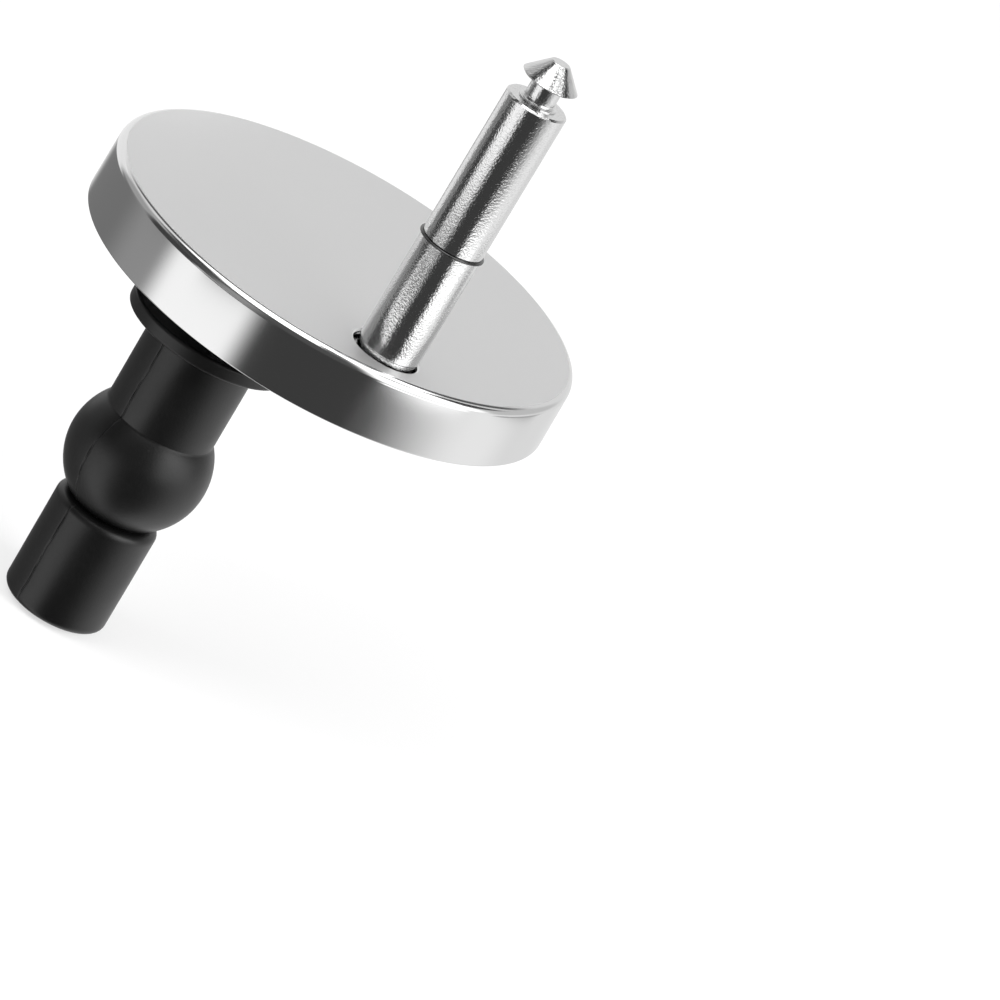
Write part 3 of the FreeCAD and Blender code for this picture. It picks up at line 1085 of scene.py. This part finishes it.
@dataclass
class Anchor:
    """The expanding rubber anchor: flange, neck, ball and tail in one moulding."""

    flange_thickness: float = 1.7
    flange_round: float = 0.35
    neck_radius: float = 6.25
    neck_round: float = 0.15
    ball_radius: float = 8.0
    ball_depth: float = 15.7
    ball_foot: float = 4.66
    tail_radius: float = 5.95
    tail_length: float = 13.0
    tail_round: float = 0.9
    bore_radius: float = 3.3
    parting: float = -95.5
    line_depth: float = 0.14
    line_width: float = 0.09
    line_angle: float = 0.0047
    line_offset: float = 0.31
    line_steps: int = 12
    line_sway: float = 0.05
    line_ripple: float = 0.03
    line_breaks: float = 0.45
    dent_depth: float = 0.03
    dent_middle: float = 0.4
    dents_round: float = 1.7
    dents_per_mm: float = 0.22
    stride: float = 0.3
    ball_steps: int = 48
    steps: int = 200
    place: Place = field(default_factory=lambda: Place.of("rubber_anchor"))

    def build(self, material: Material) -> None:
        """Builds the anchor.

        Args:
            material: its finish.
        """
        lathe = Lathe(self.steps, self.fine_angles())
        lathe.turn(self.rings(), closed=True, swell=self.skin)
        piece = lathe.finish("rubber_plug", self.place, Edge.MOULDED)
        settle(piece, Body.ANCHOR, material, ["rubber_anchor"])

    def fine_angles(self) -> list[float]:
        """Sets out the finer mesh at the mould's parting lines.

        Returns: close angles on both sides of each line, in radians.
        """
        return [
            math.radians(side) + self.line_angle * (step + self.line_offset)
            for side in (self.parting, self.parting + 180)
            for step in range(-self.line_steps, self.line_steps + 1)
        ]

    def rings(self) -> list[Ring]:
        """Draws the half section, with the ball as a true arc.

        Returns: its rings.
        """
        crease = -self.ball_depth + math.sqrt(self.ball_radius**2 - self.neck_radius**2)
        tail_top = -self.ball_depth - math.sqrt(self.ball_radius**2 - self.ball_foot**2)
        tail_end = tail_top - self.tail_length
        flange = self.place.reach
        upper = [
            Corner(self.bore_radius, self.flange_thickness),
            Corner(flange, self.flange_thickness, self.flange_round),
            Corner(flange, 0, self.flange_round),
            Corner(self.neck_radius, 0, self.neck_round),
            Corner(self.neck_radius, crease),
        ]
        lower = [
            Corner(self.ball_foot, tail_top),
            Corner(self.tail_radius, tail_top, self.tail_round),
            Corner(self.tail_radius, tail_end, self.tail_round),
            Corner(self.bore_radius, tail_end),
        ]
        start, end = (
            math.asin((level + self.ball_depth) / self.ball_radius)
            for level in (crease, tail_top)
        )
        ball = []
        for step in range(1, self.ball_steps):
            out, up = polar(start + (end - start) * step / self.ball_steps, self.ball_radius)
            ball.append((out, up - self.ball_depth))
        above, below = (Outline(part, stride=self.stride).points() for part in (upper, lower))
        return above + ball + below

    def skin(self, angle: float, radius: float, height: float) -> float:
        """Gives what the mould leaves on the rubber: soft dents and two parting lines.

        Args:
            angle: angle round the axis, in radians.
            radius: radius of the plain form.
            height: height of the point.

        Returns: the rise above the plain form.
        """
        if radius < self.bore_radius + 0.1 or height > -0.3:
            return 0.0
        x, y = polar(angle, self.dents_round)
        dent = noise.noise(Vector((x, y, height * self.dents_per_mm))) - self.dent_middle
        rise = dent * self.dent_depth
        for side in (self.parting, self.parting + 180):
            wander = self.line_sway * math.sin(height * 0.9 + side)
            wander += self.line_ripple * math.sin(height * 2.3)
            gap = (angle - math.radians(side) + math.pi) % TURN - math.pi
            away = (gap * radius - wander) / self.line_width
            breaks = noise.noise(Vector((height * 1.3, side, 0.0))) * self.line_breaks
            ragged = 1 - self.line_breaks + breaks
            rise -= self.line_depth * ragged * math.exp(-away * away)
        return rise


@dataclass
class ClampBolt:
    """The button head bolt, with its rolled thread and its hexagon socket."""

    radius: float = 3.0
    plain: float = 14.0
    pitch: float = 1.0
    thread_depth: float = 0.5
    thread_slope: float = 3.2
    thread_floor: float = 1.25
    thread_steps: int = 12
    seat_round: float = 0.15
    tip: float = 0.7
    head_radius: float = 5.25
    head_top_radius: float = 2.9
    head_height: float = 3.3
    dome_share: float = 0.75
    dome_bulge: float = 0.16
    dome_steps: int = 14
    socket_across: float = 4.0
    socket_depth: float = 2.1
    drill_depth: float = 0.5
    steps: int = 96
    place: Place = field(default_factory=lambda: Place.of("clamp_bolt"))

    def build(self, material: Material) -> None:
        """Builds the bolt.

        Args:
            material: its finish.
        """
        lathe = Lathe(self.steps)
        rows = lathe.turn(self.dome() + self.shank(), swell=self.thread)
        floor_level = self.place.high - self.socket_depth
        corners, floor = [], []
        for step in range(6):
            x, y = polar(TURN * step / 6, self.socket_across / math.sqrt(3))
            corners.append(lathe.point(x, y, self.place.high))
            floor.append(lathe.point(x, y, floor_level))
        lathe.fill_between(rows[0], corners)
        drill = lathe.point(0, 0, floor_level - self.drill_depth)
        for step in range(6):
            after = (step + 1) % 6
            lathe.mesh.faces.new((corners[step], corners[after], floor[after], floor[step]))
            lathe.mesh.faces.new((floor[step], floor[after], drill))
        piece = lathe.finish("clamping_bolt", self.place, Edge.MACHINED)
        settle(piece, Body.BOLT, material, ["clamp_bolt"])

    def dome(self) -> list[Ring]:
        """Draws the rounded head.

        Returns: its rings, from its top flat down.
        """
        start = Vector((self.head_top_radius, self.place.high))
        end = Vector((self.head_radius, self.place.high - self.head_height * self.dome_share))
        chord = end - start
        outward = Vector((-chord.y, chord.x)).normalized() * (self.dome_bulge * chord.length)
        shares = [step / self.dome_steps for step in range(self.dome_steps + 1)]
        return [
            tuple(start + chord * share + outward * (4 * share * (1 - share)))
            for share in shares
        ]

    def shank(self) -> list[Ring]:
        """Draws the head's underside and the shank.

        Returns: their rings, down to the tip.
        """
        seat, end = self.place.high - self.head_height, self.place.low
        corners = [
            Corner(self.head_radius, seat, self.seat_round),
            Corner(self.radius, seat),
            Corner(self.radius, end + self.tip),
            Corner(self.radius - self.tip, end),
            Corner(0, end),
        ]
        stride = self.pitch / self.thread_steps
        rings = Outline(corners, stride=stride, arc_steps=3).points()
        least = self.radius - self.tip - 0.01
        return [ring for ring in rings if ring[0] > least or ring[0] < TOUCH]

    def thread(self, angle: float, radius: float, height: float) -> float:
        """Cuts the helical thread on the lower part of the shank.

        Args:
            angle: angle round the axis, in radians.
            radius: radius of the plain form.
            height: height of the point.

        Returns: what the thread takes off the radius, as a negative number.
        """
        start = self.place.high - self.head_height - self.plain
        if radius > self.radius + TOUCH or height > start or radius < self.radius - self.tip:
            return 0.0
        phase = (height / self.pitch - angle / TURN) % 1.0
        flank = self.thread_floor - abs(phase - 0.5) * self.thread_slope
        flank = min(1.0, max(0.0, flank))
        fade = min(1.0, (start - height) / self.pitch)
        floor = self.radius - self.thread_depth - radius
        return min(0.0, max(-self.thread_depth * flank * fade, floor))


# ---- studio


@dataclass(frozen=True)
class Card:
    """A card or light box round the object, as the metal sees it, measured in angles.

    Args:
        side: how far right of the camera's direction it stands.
        half_width: half its width.
        blur: half the width of its soft edge.
        level: its brightness.
        elevation: how far above the horizon it stands.
        half_height: half its height.
    """

    side: float
    half_width: float
    blur: float
    level: float
    elevation: float = -38.0
    half_height: float = 45.0


@dataclass(frozen=True)
class Screen:
    """A small sheet close to the pin that shows only in what the metal reflects.

    Args:
        name: its name.
        side: how far right of the camera's direction it stands, from the pin.
        half_width: half its width.
        low: level of its lower edge.
        full: level up to which it is solid.
        high: level at which it has faded out.
        glow: its brightness.
    """

    name: str
    side: float
    half_width: float
    low: float
    full: float
    high: float
    glow: float


@dataclass(frozen=True)
class Softbox:
    """A square lamp that faces the object.

    Args:
        name: its name.
        side: angle to the right of the camera's direction.
        elevation: angle above the horizon.
        distance: how far it stands, in metres.
        size: its width, in metres.
        power: its power, in watts.
    """

    name: str
    side: float
    elevation: float
    distance: float
    size: float
    power: float


@dataclass(frozen=True)
class StudioCamera:
    """The camera, at the photograph's viewing angle.

    Args:
        bearing: angle round from -Y towards +X.
        elevation: angle above the horizon.
        roll: how far the picture is turned clockwise against the upright.
        distance: from the point looked at.
        target: the point looked at.
        lens: focal length.
        sensor: width of the sensor.
    """

    bearing: float = 27.88
    elevation: float = 21.057
    roll: float = 31.673
    distance: float = 640.77
    target: tuple[float, float, float] = (24.473, 28.099, -3.521)
    lens: float = 216.0
    sensor: float = 36.0

    def toward(self, side: float, elevation: float = 0.0) -> Vector:
        """Finds a direction from the object.

        Args:
            side: angle to the right of the camera's direction.
            elevation: angle above the horizon.

        Returns: the direction.
        """
        turn, rise = math.radians(self.bearing + side), math.radians(elevation)
        level = math.cos(rise)
        return Vector((math.sin(turn) * level, -math.cos(turn) * level, math.sin(rise)))

    def build(self) -> None:
        """Stands the camera in the scene."""
        back = self.toward(0.0, self.elevation)
        level = Vector((*polar(math.radians(self.bearing)), 0.0))
        upright = back.cross(level)
        lean = math.radians(self.roll)
        right = level * math.cos(lean) + upright * math.sin(lean)
        up = upright * math.cos(lean) - level * math.sin(lean)
        data = bpy.data.cameras.new("studio_camera")
        data.lens, data.sensor_width = self.lens, self.sensor
        data.clip_start, data.clip_end = 0.01, 20.0
        placed = Matrix((right, up, back)).transposed().to_4x4()
        placed.translation = Vector(self.target) * MM + back * self.distance * MM
        camera = add_object("studio_camera", data)
        camera.matrix_world = placed
        bpy.context.scene.camera = camera


@dataclass
class Studio:
    """Floor, light and camera round the object.

    Between the cards the metal sees the tent, and matt surfaces get the diffuse level from
    all round. A later card covers an earlier one. The floor's size is in metres.
    """

    camera: StudioCamera = StudioCamera()
    tent_level: float = 0.90
    diffuse_level: float = 0.78
    floor_gap: float = 0.4
    floor_size: float = 6.0
    floor_glow: float = 0.62
    screen_distance: float = 60.0
    screen_blur: float = 4.0
    screen_edge: float = 1.0
    cards: Sequence[Card] = (
        # round the object, mostly below the horizon
        Card(side=172, half_width=26, blur=12, level=0.85),
        Card(side=104, half_width=17, blur=12, level=1.07),
        Card(side=-110, half_width=52, blur=10, level=0.21),
        Card(side=-84, half_width=16, blur=12, level=0.34),
        Card(side=-44, half_width=25, blur=7, level=1.25),
        Card(side=46, half_width=18, blur=24, level=0.07),
        Card(side=12, half_width=31, blur=7, level=0.055),
        # above the horizon, as the cover's top shows it to the pin
        Card(side=180, half_width=52, blur=6, level=0.87, elevation=14, half_height=20),
        Card(side=-20, half_width=66, blur=6, level=0.09, elevation=28, half_height=30),
        Card(side=-31, half_width=11, blur=7, level=0.36, elevation=22, half_height=20),
        Card(side=-107, half_width=21, blur=10, level=0.42, elevation=20, half_height=18),
        Card(side=123, half_width=27, blur=6, level=0.66, elevation=20, half_height=18),
        Card(side=67, half_width=29, blur=7, level=1.90, elevation=30, half_height=25),
        Card(side=68, half_width=15, blur=7, level=4.0, elevation=40, half_height=11),
        # overhead
        Card(side=0, half_width=200, blur=3, level=2.6, elevation=76, half_height=18),
        Card(side=-84, half_width=22, blur=8, level=0.06, elevation=52, half_height=13),
        Card(side=75, half_width=16, blur=4, level=0.55, elevation=60, half_height=7),
        Card(side=108, half_width=15, blur=3, level=0.05, elevation=45, half_height=13),
        Card(side=30, half_width=13, blur=2, level=0.05, elevation=67, half_height=10),
        Card(side=180, half_width=40, blur=4, level=0.10, elevation=45, half_height=11),
    )
    lamps: Sequence[Softbox] = (
        Softbox("key_softbox", side=68, elevation=30, distance=0.9, size=0.45, power=7.0),
        Softbox("fill_softbox", side=-60, elevation=48, distance=1.1, size=0.6, power=5.0),
    )
    screens: Sequence[Screen] = (
        Screen("dim_screen", side=-38, half_width=22, low=-4.5, full=-2, high=17, glow=0.10),
        Screen("dark_screen", side=-74, half_width=15, low=-1, full=24, high=30, glow=0.06),
        Screen("pale_screen", side=-130, half_width=20, low=1, full=24, high=30, glow=1.0),
        Screen("white_screen", side=63, half_width=26, low=-8.5, full=0, high=15, glow=1.9),
        Screen("grey_screen", side=117, half_width=14, low=-6, full=2, high=6, glow=0.5),
    )

    def build(self, effects: Effects) -> None:
        """Builds the studio.

        Args:
            effects: the shared shader effects.
        """
        self.camera.build()
        self._world(effects)
        self._floor()
        for screen in self.screens:
            self._screen(screen)
        for lamp in self.lamps:
            self._lamp(lamp)
        bpy.context.scene.view_settings.view_transform = "Standard"

    def _world(self, effects: Effects) -> None:
        """Shows white to the camera, even light to matt surfaces and cards to the metal.

        Args:
            effects: the shared shader effects.
        """
        world = bpy.data.worlds.new("studio_world")
        sketch = Sketch.of(world)
        direction = sketch.add("TexCoord").outputs["Generated"]
        level: Feed = self.tent_level
        for card in self.cards:
            toward = self.camera.toward(card.side)
            bearing = math.degrees(math.atan2(toward.y, toward.x))
            size = (card.half_width, card.half_height, card.blur)
            placed = effects.card.place(sketch, direction, bearing, card.elevation, *size)
            level = sketch.blend(placed["Mask"], level, card.level)
        rays = sketch.add("LightPath").outputs
        level = sketch.blend(rays["Is Glossy Ray"], self.diffuse_level, level)
        level = sketch.blend(rays["Is Camera Ray"], level, 1.0)
        sky = sketch.add("Background", {"Color": level, "Strength": 1.0})
        sketch.add("OutputWorld", {"Surface": sky.outputs[0]})
        bpy.context.scene.world = world

    def _floor(self) -> None:
        """Lays a pale floor that shows white, keeps a soft shadow and is clear from below."""
        material = bpy.data.materials.new("pale_floor")
        sketch = Sketch.of(material)
        paint = sketch.add("BsdfDiffuse", {"Color": (0.9, 0.9, 0.9, 1.0)})
        glow = sketch.add("Emission", {"Color": (1, 1, 1, 1), "Strength": 1.0})
        watched = sketch.add("LightPath").outputs["Is Camera Ray"]
        lit = sketch.layer(sketch.times(watched, self.floor_glow), paint, glow)
        below = sketch.add("NewGeometry").outputs["Backfacing"]
        seen = sketch.layer(below, lit, sketch.add("BsdfTransparent"))
        sketch.add("OutputMaterial", {"Surface": seen.outputs[0]})

        sheet = bmesh.new()
        bmesh.ops.create_grid(sheet, x_segments=8, y_segments=8, size=self.floor_size / 2)
        floor = add_object("studio_floor", write_mesh("studio_floor", sheet))
        floor.location = (0.0, 0.0, CAD_BOX[0].z - self.floor_gap * MM)
        floor.data.materials.append(material)
        floor.visible_glossy = False

    def _screen(self, screen: Screen) -> None:
        """Adds one sheet beside the pin, upright and square to the line from the pin.

        Args:
            screen: the sheet.
        """
        material = bpy.data.materials.new(screen.name)
        sketch = Sketch.of(material)
        apart = sketch.separate(sketch.add("TexCoord").outputs["Object"])
        far = (screen.half_width + self.screen_blur) * MM
        near = (screen.half_width - self.screen_blur) * MM
        inside = sketch.step(sketch.math("ABSOLUTE", apart[0]), far, near)
        faded = sketch.step(apart[2], screen.high * MM, screen.full * MM)
        raised = sketch.step(apart[2], screen.low * MM, (screen.low + self.screen_edge) * MM)
        solid = sketch.times(sketch.times(inside, faded), raised)
        glow = sketch.add("Emission", {"Color": (1, 1, 1, 1), "Strength": screen.glow})
        seen = sketch.layer(solid, sketch.add("BsdfTransparent"), glow)
        sketch.add("OutputMaterial", {"Surface": seen.outputs[0]})

        reach, low, high = far, screen.low * MM, screen.high * MM
        corners = ((-reach, low), (reach, low), (reach, high), (-reach, high))
        sheet = bmesh.new()
        sheet.faces.new([sheet.verts.new((x, 0.0, z)) for x, z in corners])
        panel = add_object(screen.name, write_mesh(screen.name, sheet))
        panel.data.materials.append(material)
        pin = Place.of("hinge_pin")
        away, upright = self.camera.toward(screen.side), Vector((0.0, 0.0, 1.0))
        placed = Matrix((away.cross(upright), away, upright)).transposed().to_4x4()
        placed.translation = Vector((pin.x, pin.y, 0.0)) * MM + away * self.screen_distance * MM
        panel.matrix_world = placed
        for ray in ("camera", "diffuse", "transmission", "volume_scatter", "shadow"):
            setattr(panel, f"visible_{ray}", False)

    def _lamp(self, lamp: Softbox) -> None:
        """Adds one lamp, which the metal doesn't reflect.

        Args:
            lamp: the lamp.
        """
        data = bpy.data.lights.new(lamp.name, "AREA")
        data.shape, data.size, data.energy = "SQUARE", lamp.size, lamp.power
        light = add_object(lamp.name, data)
        away = self.camera.toward(lamp.side, lamp.elevation)
        light.location = away * lamp.distance
        light.rotation_euler = away.to_track_quat("Z", "Y").to_euler()
        light.visible_glossy = False


# ---- the hinge post


class HingePost:
    """The whole hinge post, dressed piece by piece."""

    def build(self, effects: Effects) -> None:
        """Builds the new pieces and dresses the CAD nodes that stay.

        Args:
            effects: the shared shader effects.
        """
        Cover().build(COVER_STEEL.build(effects))
        Pin().build(PIN_STEEL.build(effects), RING_RUBBER.build(effects))
        Anchor().build(ANCHOR_RUBBER.build(effects))
        zinc = ZINC.build(effects)
        ClampBolt().build(zinc)
        for node in ("pin_screw", "pin_washer", "bolt_washer"):
            dress_node(node, zinc)
        dress_node("base", PLASTIC.build(effects))
        dress_node("base_gasket", PAD_RUBBER.build(effects))
        dress_node("anchor_nut", BRASS.build(effects))


def main() -> None:
    """Builds the hinge post and the studio round it."""
    logging.basicConfig(level=logging.INFO, format="%(name)s: %(message)s")
    effects = Effects()
    HingePost().build(effects)
    Studio().build(effects)


if __name__ == "__main__":
    main()
